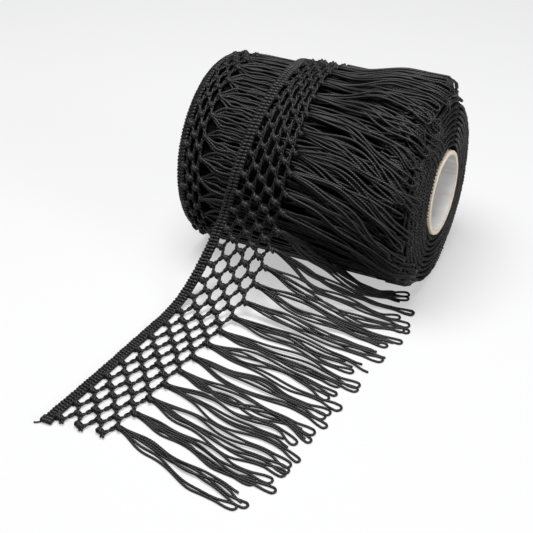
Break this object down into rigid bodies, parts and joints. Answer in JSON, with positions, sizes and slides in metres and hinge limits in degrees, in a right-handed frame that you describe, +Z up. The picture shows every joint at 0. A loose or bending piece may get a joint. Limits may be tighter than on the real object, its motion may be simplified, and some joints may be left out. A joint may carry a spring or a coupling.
{
  "type": "roll of knotted tassel fringe trim on a cardboard core",
  "caption": "Wound roll of black tassel fringe trim on a cardboard tube, its loose end laid out flat: ribbed heading, knotted net and looped tassels.",
  "frame": {"origin": "on the floor, in the middle of the small flat spot on which the roll rests, under the middle of its length", "axes": "+X along the roll's axis towards the end with the showing cardboard edge, -Y towards the loose end, +Z up"},
  "size_m": [0.128, 0.245, 0.099],
  "materials": {
    "yarn": "black twisted cord, dull with a faint sheen along the twist",
    "cardboard": "kraft cardboard tube with a pale grey lining, dull"
  },
  "bodies": {
    "root": {"core": "cardboard", "roll": "yarn", "fringe_turn": "yarn", "heading_loose": "yarn", "net_loose": "yarn", "tassel_01": "yarn", "tassel_02": "yarn", "tassel_03": "yarn", "tassel_04": "yarn", "tassel_05": "yarn", "tassel_06": "yarn", "tassel_07": "yarn", "tassel_08": "yarn", "tassel_09": "yarn", "tassel_10": "yarn", "tassel_11": "yarn", "tassel_12": "yarn", "tassel_13": "yarn", "tassel_14": "yarn"}
  },
  "joints": []
}
